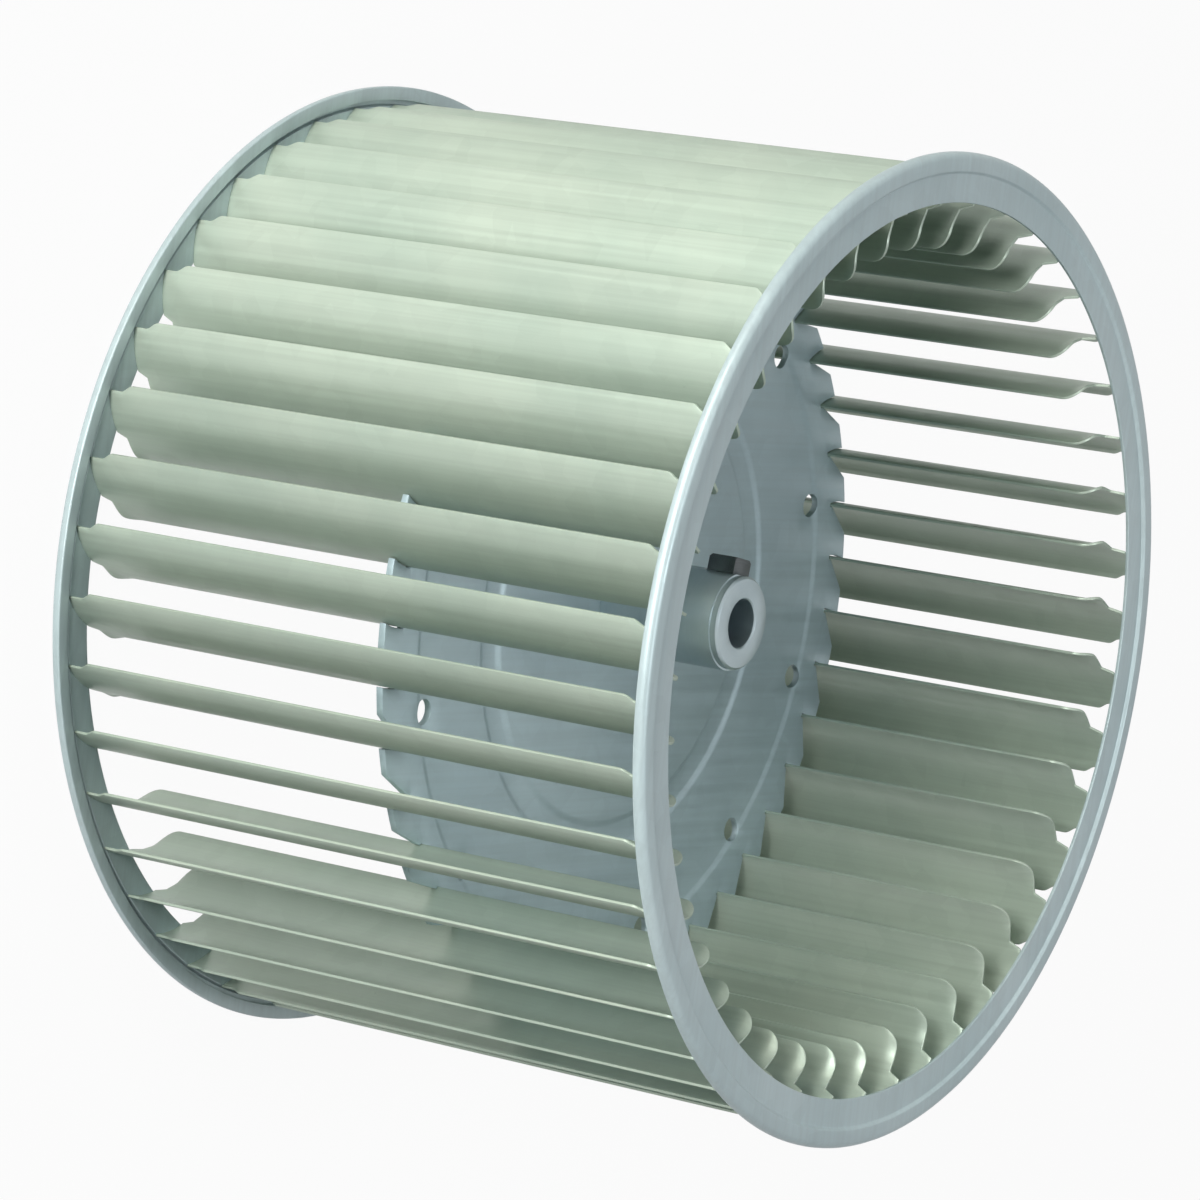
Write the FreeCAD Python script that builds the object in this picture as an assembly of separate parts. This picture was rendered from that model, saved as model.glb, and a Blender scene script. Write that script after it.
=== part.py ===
import FreeCAD, Part
import math
import os

# A blower wheel: forward-curved blades between two rolled end rings, carried at
# mid width by a toothed disc on a turned hub. All sizes are in mm.
# Z is the shaft's axis, the origin is on it at mid width, and the open inlet
# that the hub stands toward is at the top.

# The wheel
wheel_diameter = 254.0
wheel_width = 177.8
blade_count = 43

# End rings, rolled from sheet
ring_sheet = 0.9
ring_face_width = 7.3
lip_width = 5.4
lip_depth = 2.9
lip_rise = 0.9
lip_shoulder = 1.8
lip_slope = 0.6

# Blades, pressed from sheet
blade_sheet = 0.7
blade_tip_inset = 4.3
blade_depth = 20.8
blade_sweep = 6.91
blade_turn = 66.0
first_blade_angle = 59.6
inlet_end_gap = 3.2
base_end_gap = 2.4
end_corner = 4.6
tab_start = 10.4
tab_slant = 1.6
tip_cut_depth = 2.6
tip_cut_height = 5.0
tip_cut_slant = 3.6
roll_clearance = 0.3

# Centre disc, stamped from sheet
disc_sheet = 1.9
tooth_height = 7.6
tooth_start = 1.0
tooth_slant = 5.2
slot_clearance = 0.3
band_width = 6.5
band_rise = 0.6
groove_radius = 62.2
groove_width = 10.0
groove_depth = 0.8
press_slope = 1.6
vent_count = 12
vent_diameter = 6.5
vent_inset = 10.0
first_vent_angle = 17.2

# Hub, turned from bar and staked into the disc
hub_diameter = 25.4
bore_diameter = 12.7
hub_reach = 36.6
nose_length = 2.2
nose_step = 0.5
hub_chamfer = 0.6
neck_flats = 19.0
staked_diameter = 25.0
staked_thickness = 2.6
staked_chamfer = 0.8

# Set screw with a square head
screw_diameter = 7.94
screw_head_flats = 7.94
screw_head_height = 4.4
screw_head_chamfer = 0.7
screw_from_face = 7.2
screw_angle = 352.0
seat_diameter = 12.4
seat_height = 12.1
screw_clearance = 0.3
screw_point_chamfer = 0.8

# Radii and heights that follow from the sizes above
wheel_radius = wheel_diameter / 2
ring_top = wheel_width / 2
face_outer_radius = wheel_radius - lip_width
face_inner_radius = face_outer_radius - ring_face_width
face_height = ring_top - lip_rise
blade_tip_radius = wheel_radius - blade_tip_inset
blade_inner_radius = blade_tip_radius - blade_depth
blade_end_height = face_height - ring_sheet
blade_pitch = 360.0 / blade_count
lip_return_radius = blade_tip_radius + blade_sheet / 2 + roll_clearance
disc_radius = blade_inner_radius + tooth_height
band_radius = blade_inner_radius - band_width
vent_radius = blade_inner_radius - vent_inset
disc_top = disc_sheet / 2
disc_bottom = -disc_sheet / 2
hub_radius = hub_diameter / 2
bore_radius = bore_diameter / 2
screw_height = hub_reach - screw_from_face
screw_radius = screw_diameter / 2
screw_hole_radius = screw_radius + screw_clearance


def vector(x, y, z=0.0):
    return FreeCAD.Vector(x, y, z)


def polar(radius, degrees, z=0.0):
    turn = math.radians(degrees)
    return vector(radius * math.cos(turn), radius * math.sin(turn), z)


def turned_about_axis(shape, degrees):
    copy = shape.copy()
    copy.rotate(vector(0, 0), vector(0, 0, 1), degrees)
    return copy


def polygon_face(points):
    return Part.Face(Part.makePolygon(points + [points[0]]))


def revolved(face):
    return face.revolve(vector(0, 0), vector(0, 0, 1), 360)


def chord_line():
    """The straight line from the blade's inner edge to its tip, as a start, a direction and a length."""
    start = vector(blade_inner_radius, 0)
    chord = polar(blade_tip_radius, -blade_sweep) - start
    length = chord.Length
    return start, chord.normalize(), length


def blade_curve():
    """The blade's section line is one arc: its centre, its radius and the angle where it starts."""
    start, along, length = chord_line()
    outward = vector(-along.y, along.x)
    half_turn = math.radians(blade_turn / 2)
    radius = length / 2 / math.sin(half_turn)
    centre = start + along * (length / 2) - outward * (radius * math.cos(half_turn))
    first = math.degrees(math.atan2(start.y - centre.y, start.x - centre.x))
    return centre, radius, first


def arc_point(share, offset=0.0):
    """A point on the blade's section, from 0 at the inner edge to 1 at the tip."""
    centre, radius, first = blade_curve()
    return centre + polar(radius + offset, first - blade_turn * share)


def section_face(half_thickness):
    """The blade's curved section, with the given thickness to each side of its middle line."""
    outer = Part.Arc(
        arc_point(0, half_thickness),
        arc_point(0.5, half_thickness),
        arc_point(1, half_thickness),
    )
    inner = Part.Arc(
        arc_point(1, -half_thickness),
        arc_point(0.5, -half_thickness),
        arc_point(0, -half_thickness),
    )
    tip_edge = Part.LineSegment(arc_point(1, half_thickness), arc_point(1, -half_thickness))
    inner_edge = Part.LineSegment(arc_point(0, -half_thickness), arc_point(0, half_thickness))
    edges = [outer.toShape(), tip_edge.toShape(), inner.toShape(), inner_edge.toShape()]
    return Part.Face(Part.Wire(edges))


def across_blade(points):
    """A prism through the blade from points given as distance along the chord and height."""
    start, along, length = chord_line()
    across = vector(-along.y, along.x)
    base = start - across * length
    corners = [base + along * point[0] + vector(0, 0, point[1]) for point in points]
    return polygon_face(corners).extrude(across * (2 * length))


def end_cutter(end_gap):
    """What sets the inner part of a blade's top end back from the ring, as far as the tab that meets it."""
    above = blade_end_height + end_corner
    low = blade_end_height - end_gap
    middle = end_corner * (1 - math.cos(math.radians(45)))
    tab_top = tab_start + tab_slant
    return across_blade([
        (-end_corner, low - end_corner),
        (0, low - end_corner),
        (middle, low - middle),
        (end_corner, low),
        (tab_start, low),
        (tab_top, blade_end_height),
        (tab_top, above),
        (-end_corner, above),
    ])


def tip_cutter():
    """What takes off the tip's corner under the end ring's lip, with a slant that runs out at the tip."""
    depth = tip_cut_depth
    tip = chord_line()[2]
    slant_top = blade_end_height - tip_cut_height
    above = blade_end_height + depth
    return across_blade([
        (tip + depth, slant_top - 2 * tip_cut_slant),
        (tip - depth, slant_top),
        (tip - depth, above),
        (tip + depth, above),
    ])


def blade():
    """One blade, with its inner edge on the X axis."""
    sheet = section_face(blade_sheet / 2).extrude(vector(0, 0, 2 * blade_end_height))
    sheet.translate(vector(0, 0, -blade_end_height))
    inlet_cutters = [end_cutter(inlet_end_gap), tip_cutter()]
    base_cutters = [end_cutter(base_end_gap), tip_cutter()]
    mirrored = [cutter.mirror(vector(0, 0), vector(0, 0, 1)) for cutter in base_cutters]
    return sheet.cut(inlet_cutters + mirrored)


def end_ring():
    """The upper end ring: a flat face, a small step up, and a lip rolled over the blade tips."""
    crest_start = face_outer_radius + lip_slope
    crest_end = wheel_radius - lip_shoulder
    shoulder_height = ring_top - lip_shoulder
    shoulder_mid = lip_shoulder * math.sin(math.radians(45))
    lip_bottom = ring_top - lip_depth
    under_face = face_height - ring_sheet
    under_crest = ring_top - ring_sheet
    wall_radius = wheel_radius - ring_sheet
    outside = [
        vector(face_inner_radius, 0, under_face),
        vector(face_inner_radius, 0, face_height),
        vector(face_outer_radius, 0, face_height),
        vector(crest_start, 0, ring_top),
        vector(crest_end, 0, ring_top),
    ]
    inside = [
        vector(wheel_radius, 0, shoulder_height),
        vector(wheel_radius, 0, lip_bottom),
        vector(lip_return_radius, 0, lip_bottom),
        vector(lip_return_radius, 0, lip_bottom + ring_sheet),
        vector(wall_radius, 0, lip_bottom + ring_sheet),
        vector(wall_radius, 0, shoulder_height),
        vector(crest_end, 0, under_crest),
        vector(crest_start, 0, under_crest),
        vector(face_outer_radius, 0, under_face),
        vector(face_inner_radius, 0, under_face),
    ]
    shoulder = Part.Arc(
        outside[-1],
        vector(crest_end + shoulder_mid, 0, shoulder_height + shoulder_mid),
        inside[0],
    )
    edges = Part.makePolygon(outside).Edges + [shoulder.toShape()] + Part.makePolygon(inside).Edges
    return revolved(Part.Face(Part.Wire(edges)))


def disc_blank():
    """The disc before its rim is cut: a pressed groove, and a rim band set a little higher."""
    half_groove = groove_width / 2
    top = [
        vector(0, 0, disc_top),
        vector(groove_radius - half_groove, 0, disc_top),
        vector(groove_radius - half_groove + press_slope, 0, disc_top - groove_depth),
        vector(groove_radius + half_groove - press_slope, 0, disc_top - groove_depth),
        vector(groove_radius + half_groove, 0, disc_top),
        vector(band_radius - press_slope, 0, disc_top),
        vector(band_radius, 0, disc_top + band_rise),
        vector(disc_radius, 0, disc_top + band_rise),
    ]
    bottom = [point - vector(0, 0, disc_sheet) for point in reversed(top)]
    return revolved(polygon_face(top + bottom))


def rim_prism(points):
    """A prism through the disc's rim on a flat outline."""
    low = [point - vector(0, 0, disc_sheet) for point in points]
    return polygon_face(low).extrude(vector(0, 0, 3 * disc_sheet))


def tooth_cutter():
    """What makes one tooth slant out from a blade's hollow side to the next blade's back."""
    outside = disc_radius + tooth_height
    along_blade = [arc_point(0.1), arc_point(0.3), arc_point(0.5), arc_point(0.7)]
    slant_end = polar(disc_radius, -tooth_slant)
    slant_start = polar(blade_inner_radius + tooth_start, 0) - vector(0, blade_sheet / 2 + slot_clearance)
    return rim_prism(along_blade + [polar(outside, -tooth_slant), slant_end, slant_start])


def slot_cutter():
    """The slot that one blade sits in: its inner edge rests on the bottom, its faces are clear."""
    slot = section_face(blade_sheet / 2 + slot_clearance).extrude(vector(0, 0, 3 * disc_sheet))
    slot.translate(vector(0, 0, -disc_sheet))
    return slot


def hexagon_prism(flats, height, base):
    """A six-sided prism that stands on a point."""
    corner = flats / 2 / math.cos(math.radians(30))
    points = [base + polar(corner, 60 * side) for side in range(6)]
    return polygon_face(points).extrude(vector(0, 0, height))


def center_disc():
    """The toothed disc, with its round holes and the six-sided hole that the hub is staked in."""
    one_pitch = [tooth_cutter(), slot_cutter()]
    cutters = []
    for index in range(blade_count):
        angle = first_blade_angle + index * blade_pitch
        cutters.extend(turned_about_axis(cutter, angle) for cutter in one_pitch)
    for index in range(vent_count):
        place = polar(vent_radius, first_vent_angle + index * 360.0 / vent_count, -disc_sheet)
        cutters.append(Part.makeCylinder(vent_diameter / 2, 3 * disc_sheet, place))
    cutters.append(hexagon_prism(neck_flats, 3 * disc_sheet, vector(0, 0, -disc_sheet)))
    return disc_blank().cut(cutters)


def radial_cylinder(radius, start, length):
    """A cylinder on the set screw's axis, from a distance off the shaft's axis outward."""
    outward = polar(1, screw_angle)
    return Part.makeCylinder(radius, length, polar(start, screw_angle, screw_height), outward)


def hub():
    """The turned hub: body, stepped nose, six-sided neck and the head staked behind the disc."""
    staked_bottom = disc_bottom - staked_thickness
    nose_start = hub_reach - nose_length
    nose_radius = hub_radius - nose_step
    body = Part.makeCylinder(hub_radius, nose_start - disc_top, vector(0, 0, disc_top))
    nose_base = Part.makeCylinder(nose_radius, nose_length - hub_chamfer, vector(0, 0, nose_start))
    nose_edge = Part.makeCone(
        nose_radius, nose_radius - hub_chamfer, hub_chamfer, vector(0, 0, hub_reach - hub_chamfer)
    )
    neck = hexagon_prism(neck_flats, disc_sheet, vector(0, 0, disc_bottom))
    head_radius = staked_diameter / 2
    staked_flat = Part.makeCylinder(
        head_radius, staked_thickness - staked_chamfer, vector(0, 0, staked_bottom + staked_chamfer)
    )
    staked_edge = Part.makeCone(
        head_radius - staked_chamfer, head_radius, staked_chamfer, vector(0, 0, staked_bottom)
    )
    solid = body.fuse([nose_base, nose_edge, neck, staked_flat, staked_edge])
    bore = Part.makeCylinder(bore_radius, 3 * hub_reach, vector(0, 0, -hub_reach))
    screw_hole = radial_cylinder(screw_hole_radius, 0, hub_diameter)
    seat = radial_cylinder(seat_diameter / 2, seat_height, hub_diameter)
    return solid.cut([bore, screw_hole, seat])


def set_screw():
    """The screw's plain shank ends just short of the bore, and its square head rests on the seat."""
    shank_start = bore_radius + screw_clearance
    shank = radial_cylinder(screw_radius, shank_start + screw_point_chamfer, seat_height - shank_start)
    shank = shank.common(radial_cylinder(screw_radius, 0, seat_height + screw_head_height))
    outward = polar(1, screw_angle)
    point = Part.makeCone(
        screw_radius - screw_point_chamfer,
        screw_radius,
        screw_point_chamfer,
        polar(shank_start, screw_angle, screw_height),
        outward,
    )
    half = screw_head_flats / 2
    head = Part.makeBox(screw_head_height, 2 * half, 2 * half, vector(seat_height, -half, -half))
    crown_radius = half * math.sqrt(2)
    crown_length = screw_head_height + crown_radius
    crown = Part.makeCone(
        crown_radius + screw_head_height - screw_head_chamfer,
        crown_radius - screw_head_chamfer,
        screw_head_height,
        vector(seat_height, 0, 0),
        vector(1, 0, 0),
    )
    head = head.common(crown)
    head.rotate(vector(0, 0), vector(0, 0, 1), screw_angle)
    head.translate(vector(0, 0, screw_height))
    return shank.fuse([point, head])


def save(name, shape):
    shape.exportStep("parts/" + name + ".step")


def build():
    os.makedirs("parts", exist_ok=True)
    one_blade = blade()
    for index in range(blade_count):
        angle = first_blade_angle + index * blade_pitch
        save("blade_%02d" % (index + 1), turned_about_axis(one_blade, angle))
    inlet_ring = end_ring()
    save("inlet_ring", inlet_ring)
    save("base_ring", inlet_ring.mirror(vector(0, 0), vector(0, 0, 1)))
    save("center_disc", center_disc())
    save("hub", hub())
    save("set_screw", set_screw())


build()
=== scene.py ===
import math

import bmesh
import bpy
from mathutils import Matrix, Vector
from mathutils.geometry import delaunay_2d_cdt


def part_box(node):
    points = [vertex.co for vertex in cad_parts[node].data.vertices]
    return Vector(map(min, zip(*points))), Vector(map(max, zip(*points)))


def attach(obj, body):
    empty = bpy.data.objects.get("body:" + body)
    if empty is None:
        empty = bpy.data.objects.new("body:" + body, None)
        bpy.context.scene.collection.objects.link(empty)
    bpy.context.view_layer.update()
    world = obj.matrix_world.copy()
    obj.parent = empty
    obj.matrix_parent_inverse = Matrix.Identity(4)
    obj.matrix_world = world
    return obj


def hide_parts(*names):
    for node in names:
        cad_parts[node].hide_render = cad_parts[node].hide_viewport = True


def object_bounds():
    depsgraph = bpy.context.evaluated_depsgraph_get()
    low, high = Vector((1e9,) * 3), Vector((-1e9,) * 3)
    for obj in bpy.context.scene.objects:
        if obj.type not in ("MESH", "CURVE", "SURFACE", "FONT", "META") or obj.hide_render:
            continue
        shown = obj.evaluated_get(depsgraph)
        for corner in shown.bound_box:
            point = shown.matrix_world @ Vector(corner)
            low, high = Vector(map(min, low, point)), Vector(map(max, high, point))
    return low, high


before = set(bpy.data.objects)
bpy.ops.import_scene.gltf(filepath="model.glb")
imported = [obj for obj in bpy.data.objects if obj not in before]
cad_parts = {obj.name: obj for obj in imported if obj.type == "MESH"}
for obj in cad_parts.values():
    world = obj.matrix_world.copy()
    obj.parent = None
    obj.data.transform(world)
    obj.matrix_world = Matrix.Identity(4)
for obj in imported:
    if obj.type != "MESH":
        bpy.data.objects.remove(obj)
CAD_LOW, CAD_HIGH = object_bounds()

bl_info = {
    "name": "Blower wheel",
    "version": (1, 0, 0),
    "blender": (4, 5, 0),
    "location": "View3D > Sidebar > Blower wheel",
    "description": "Makes a forward-curved blower wheel, its sheet metal finishes and its studio stage",
    "category": "Object",
}

MM = 0.001
BLADE_NODES = sorted(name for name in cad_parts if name.startswith("blade_"))
RING_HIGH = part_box("inlet_ring")[1]
HUB_LOW, HUB_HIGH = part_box("hub")

# How finely the meshes are divided
BEVEL_STEPS = 2
FILLET_STEPS = 5
ROW_STEPS = 6
INNER_COLUMNS = 8
TAB_COLUMNS = 8
WALL_STEPS = 5
RIM_STEPS = 3
SLOPE_STEPS = 6
VENT_STEPS = 28
CIRCLE_STEPS = 144
RING_STEPS = 288
TURNED_STEPS = 128
DRILL_STEPS = 64
CROWN_STEPS = 96
SHANK_STEPS = 48
THREAD_STEPS = 10
HALVINGS = 40

WELD_DISTANCE = 1e-7
TRIANGLES_INSIDE = 1
LEAST_ROW_STEP = 0.04 * MM
VENT_MARGIN = 0.4 * MM
DISC_MESH_RADII = [radius * MM for radius in (16, 30, 44, 74, 84, 98.5, 100.6)]
HEXAGON_TURNS = [math.radians(60 * side) for side in range(6)]
HEXAGON_HALF = math.radians(30)
STRAIGHT = math.radians(89)
TONE_SEED = 7


# Sizes and colours

def length(name, description, millimetres):
    return bpy.props.FloatProperty(
        name=name, description=description, default=millimetres * MM, unit="LENGTH", precision=5
    )


def angle(name, description, degrees):
    return bpy.props.FloatProperty(
        name=name, description=description, default=math.radians(degrees), unit="ROTATION"
    )


def colour(name, description, default):
    return bpy.props.FloatVectorProperty(
        name=name, description=description, default=default, size=3, min=0.0, max=1.0, subtype="COLOR"
    )


def share(name, description, default):
    return bpy.props.FloatProperty(
        name=name, description=description, default=default, min=0.0, max=1.0, subtype="FACTOR"
    )


class BLOWER_PG_blades(bpy.types.PropertyGroup):
    """Sizes of the pressed blades."""
    count: bpy.props.IntProperty(name="Count", description="How many blades the wheel has", default=43)
    sheet: length("Sheet", "Thickness of the blade sheet", 0.7)
    inner_radius: length("Inner radius", "From the shaft's axis to the blades' inner edges", 101.9)
    tip_radius: length("Tip radius", "From the shaft's axis to the blades' tips", 122.7)
    sweep: angle("Sweep", "How far round the tip lies from the inner edge", 6.91)
    turn: angle("Turn", "How far the blade's section turns from edge to edge", 66.0)
    first: angle("First blade", "Where the first blade's inner edge stands", 59.6)
    end_height: length("End height", "From mid width to the blades' ends", 87.1)
    inlet_gap: length("Inlet gap", "How far a blade's inner part stands back from the inlet ring", 3.2)
    base_gap: length("Base gap", "How far a blade's inner part stands back from the base ring", 2.4)
    corner: length("Corner", "Radius of the rounded inner corners", 4.6)
    tab_start: length("Tab start", "Along the chord to the tab that meets the ring", 10.4)
    tab_slant: length("Tab slant", "How far the tab's inner side slants", 1.6)
    cut_depth: length("Cut depth", "How deep the tip's corner is cut off", 1.5)
    cut_height: length("Cut height", "From the blade's end to where the cut is full depth", 3.6)
    cut_slant: length("Cut slant", "Height of the slant that runs out at the tip", 3.6)
    flare: length("Flare", "How far the inner part's end leans to the blade's back", 0.9)
    flare_length: length("Flare length", "Height of the leaning part", 3.6)
    edge: length("Edge", "Rounding of the cut edges", 0.12)


class BLOWER_PG_rings(bpy.types.PropertyGroup):
    """Sizes of the rolled end rings."""
    sheet: length("Sheet", "Thickness of the ring sheet", 0.9)
    face_width: length("Face width", "Width of the flat face inside the lip", 7.3)
    lip_width: length("Lip width", "Width of the raised lip", 5.4)
    lip_depth: length("Lip depth", "Depth of the lip's outer wall", 2.9)
    lip_rise: length("Lip rise", "How far the lip stands over the face", 0.9)
    lip_shoulder: length("Lip shoulder", "Radius of the lip's outer shoulder", 1.8)
    lip_slope: length("Lip slope", "Width of the step between face and lip", 0.6)
    cut_edge: length("Cut edge", "Rounding of the sheet's cut edges", 0.2)
    outer_bend: length("Outer bend", "Radius of the step's bends on the outside", 0.5)
    inner_bend: length("Inner bend", "Radius of the step's bends on the inside", 0.3)
    inner_shoulder: length("Inner shoulder", "Radius inside the lip's shoulder", 0.8)
    hem_bend: length("Hem bend", "Radius of the hem's bend on the outside", 0.42)
    inner_hem_bend: length("Inner hem bend", "Radius of the hem's bend on the inside", 0.1)
    tip_clearance: length("Tip clearance", "From the blade tips to the turned-in hem", 0.65)


class BLOWER_PG_disc(bpy.types.PropertyGroup):
    """Sizes of the toothed centre disc."""
    sheet: length("Sheet", "Thickness of the disc sheet", 1.9)
    tooth_height: length("Tooth height", "From the blades' inner edges to the disc's rim", 7.6)
    tooth_start: length("Tooth start", "How far out a tooth's slant begins", 1.0)
    tooth_slant: angle("Tooth slant", "How far round the slanted side of a tooth runs", 5.2)
    slot_clearance: length("Slot clearance", "From a blade's face to the side of its slot", 0.3)
    band_width: length("Band width", "Width of the raised band inside the teeth", 6.5)
    band_rise: length("Band rise", "How far the band is raised", 0.6)
    groove_radius: length("Groove radius", "Radius of the pressed groove", 62.2)
    groove_width: length("Groove width", "Width of the pressed groove", 10.0)
    groove_depth: length("Groove depth", "Depth of the pressed groove", 0.8)
    press_slope: length("Press slope", "Width of the pressed slopes", 2.6)
    edge: length("Edge", "Rounding of the cut edges", 0.12)
    vent_count: bpy.props.IntProperty(name="Holes", description="How many holes the disc has", default=12)
    vent_diameter: length("Hole diameter", "Diameter of the round holes", 6.5)
    vent_radius: length("Hole circle", "From the shaft's axis to the middle of the holes", 91.9)
    first_vent: angle("First hole", "Where the first hole stands", 17.2)
    neck_flats: length("Neck flats", "Across the flats of the hub's hole", 19.0)


class BLOWER_PG_hub(bpy.types.PropertyGroup):
    """Sizes of the turned hub and its set screw."""
    diameter: length("Diameter", "Diameter of the hub", 25.4)
    bore: length("Bore", "Diameter of the shaft's bore", 12.7)
    nose_length: length("Nose length", "Length of the stepped nose", 2.2)
    nose_step: length("Nose step", "Height of the nose's step", 0.5)
    chamfer: length("Chamfer", "Chamfer of the nose", 0.6)
    staked_diameter: length("Staked head", "Diameter of the head behind the disc", 25.0)
    staked_chamfer: length("Staked chamfer", "Chamfer of the head behind the disc", 0.8)
    bore_mouth: length("Bore mouth", "Chamfer of the bore's ends", 0.4)
    edge: length("Edge", "Rounding of the hub's edges", 0.15)
    screw_diameter: length("Screw", "Diameter of the set screw", 7.94)
    screw_head: length("Screw head", "Across the flats of the screw's square head", 7.94)
    screw_head_height: length("Head height", "Height of the screw's head", 4.4)
    screw_edge: length("Screw edge", "Rounding of the screw's edges", 0.18)
    crown_drop: length("Crown drop", "How far down the head's chamfer runs at its corners", 1.7)
    crown_inset: length("Crown inset", "How far in the head's chamfer runs at its corners", 0.7)
    screw_from_face: length("Screw from face", "From the hub's face to the screw's axis", 7.2)
    screw_angle: angle("Screw angle", "Where the screw stands", 352.0)
    seat_diameter: length("Seat diameter", "Diameter of the flat seat under the head", 12.4)
    seat_height: length("Seat height", "From the shaft's axis to the seat", 12.1)
    screw_clearance: length("Screw clearance", "From the screw to its hole and to the bore", 0.3)
    thread_pitch: length("Thread pitch", "Pitch of the screw's thread", 1.41)
    thread_depth: length("Thread depth", "Depth of the screw's thread", 0.6)
    point_length: length("Point length", "Length of the screw's slimmer point", 0.8)
    point_inset: length("Point inset", "How much slimmer the point's end is", 0.6)


class BLOWER_PG_finish(bpy.types.PropertyGroup):
    """Colours of the metals."""
    blade: colour("Blade", "Colour of the blades", (0.42, 0.51, 0.43))
    blade_pale: colour("Blade pale", "Paler cloud in the blades' coating", (0.49, 0.57, 0.48))
    ring: colour("Ring", "Colour of the end rings", (0.45, 0.555, 0.575))
    ring_pale: colour("Ring pale", "Paler cloud in the rings' coating", (0.52, 0.62, 0.64))
    disc: colour("Disc", "Colour of the disc", (0.40, 0.51, 0.55))
    disc_pale: colour("Disc pale", "Paler cloud in the disc's coating", (0.46, 0.575, 0.61))
    hub: colour("Hub", "Colour of the hub", (0.39, 0.475, 0.51))
    hub_pale: colour("Hub pale", "Paler marks of the turning tool", (0.46, 0.54, 0.565))
    screw: colour("Screw", "Colour of the set screw", (0.05, 0.06, 0.066))
    screw_pale: colour("Screw pale", "Worn edges of the set screw", (0.14, 0.155, 0.16))


class BLOWER_PG_stage(bpy.types.PropertyGroup):
    """The camera, the lamps and the floor."""
    lens: bpy.props.FloatProperty(
        name="Lens", description="Focal length of the camera in mm", default=157.29, unit="CAMERA"
    )
    location: bpy.props.FloatVectorProperty(
        name="Camera", description="Where the camera stands", default=(0.10811, 1.15774, 0.72776),
        subtype="TRANSLATION"
    )
    right: bpy.props.FloatVectorProperty(
        name="Picture right", description="The direction that runs to the right in the picture",
        default=(0.12281, -0.54014, 0.83256), subtype="DIRECTION"
    )
    up: bpy.props.FloatVectorProperty(
        name="Picture up", description="The direction that runs up in the picture",
        default=(0.98930, 0.0, -0.14593), subtype="DIRECTION"
    )
    floor: share("Floor", "Brightness of the floor", 0.7)
    shadow: share("Shadow", "How much of the object's shadow the floor shows", 0.05)
    fill: share("Fill", "Brightness of the room's light", 0.02)


# Meshes

def polar(radius, turn, height=0.0):
    return Vector((radius * math.cos(turn), radius * math.sin(turn), height))


def hexagon(across_flats):
    corner = across_flats / 2 / math.cos(HEXAGON_HALF)
    return [polar(corner, turn) for turn in HEXAGON_TURNS]


def eased(value):
    """Runs softly from 0 to 1 as the value does."""
    value = min(max(value, 0.0), 1.0)
    return value * value * (3 - 2 * value)


def mesh_of(name, points, faces):
    mesh = bpy.data.meshes.new(name)
    mesh.from_pydata([tuple(point) for point in points], [], faces)
    mesh.validate()
    return mesh


def face_outwards(mesh):
    work = bmesh.new()
    work.from_mesh(mesh)
    bmesh.ops.remove_doubles(work, verts=work.verts, dist=WELD_DISTANCE)
    bmesh.ops.recalc_face_normals(work, faces=work.faces)
    work.to_mesh(mesh)
    work.free()


def object_of(name, mesh):
    piece = bpy.data.objects.new(name, mesh)
    bpy.context.scene.collection.objects.link(piece)
    return piece


def with_modifiers_applied(piece):
    """The piece's modifiers become its mesh."""
    bpy.context.view_layer.update()
    graph = bpy.context.evaluated_depsgraph_get()
    made = bpy.data.meshes.new_from_object(
        piece.evaluated_get(graph), preserve_all_data_layers=True, depsgraph=graph
    )
    made.name = piece.name
    piece.modifiers.clear()
    piece.data = made


def shaded(mesh, degrees):
    """Smooth shading, with edges sharper than this angle kept sharp."""
    mesh.polygons.foreach_set("use_smooth", [True] * len(mesh.polygons))
    mesh.set_sharp_from_angle(angle=math.radians(degrees))
    mesh.update()


def lathed(name, profile, steps):
    """A ring turned round the shaft's axis from a closed profile of radius and height."""
    points = []
    for step in range(steps):
        turn = math.tau * step / steps
        points.extend(polar(radius, turn, height) for radius, height in profile)
    count = len(profile)
    faces = []
    for step in range(steps):
        here, there = step * count, (step + 1) % steps * count
        for index in range(count):
            following = (index + 1) % count
            faces.append((here + index, there + index, there + following, here + following))
    mesh = mesh_of(name, points, faces)
    face_outwards(mesh)
    return mesh


def turned_solid(name, profile, steps=TURNED_STEPS):
    """A closed turned solid whose profile runs from axis to axis."""
    points = [Vector((0, 0, profile[0][1])), Vector((0, 0, profile[-1][1]))]
    ring = [item for item in profile if item[0] > 0]
    for step in range(steps):
        turn = math.tau * step / steps
        points.extend(polar(radius, turn, height) for radius, height in ring)
    size = len(ring)
    faces = []
    for step in range(steps):
        here, there = 2 + step * size, 2 + (step + 1) % steps * size
        faces.append((0, there, here))
        faces.append((1, here + size - 1, there + size - 1))
        for index in range(size - 1):
            faces.append((here + index, there + index, there + index + 1, here + index + 1))
    mesh = mesh_of(name, points, faces)
    face_outwards(mesh)
    return mesh


def prism_mesh(name, corners, low, high):
    """A closed prism between two heights."""
    count = len(corners)
    points = [Vector((corner.x, corner.y, height)) for height in (low, high) for corner in corners]
    faces = [tuple(range(count)), tuple(range(count, 2 * count))]
    for index in range(count):
        following = (index + 1) % count
        faces.append((index, following, count + following, count + index))
    mesh = mesh_of(name, points, faces)
    face_outwards(mesh)
    return mesh


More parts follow.
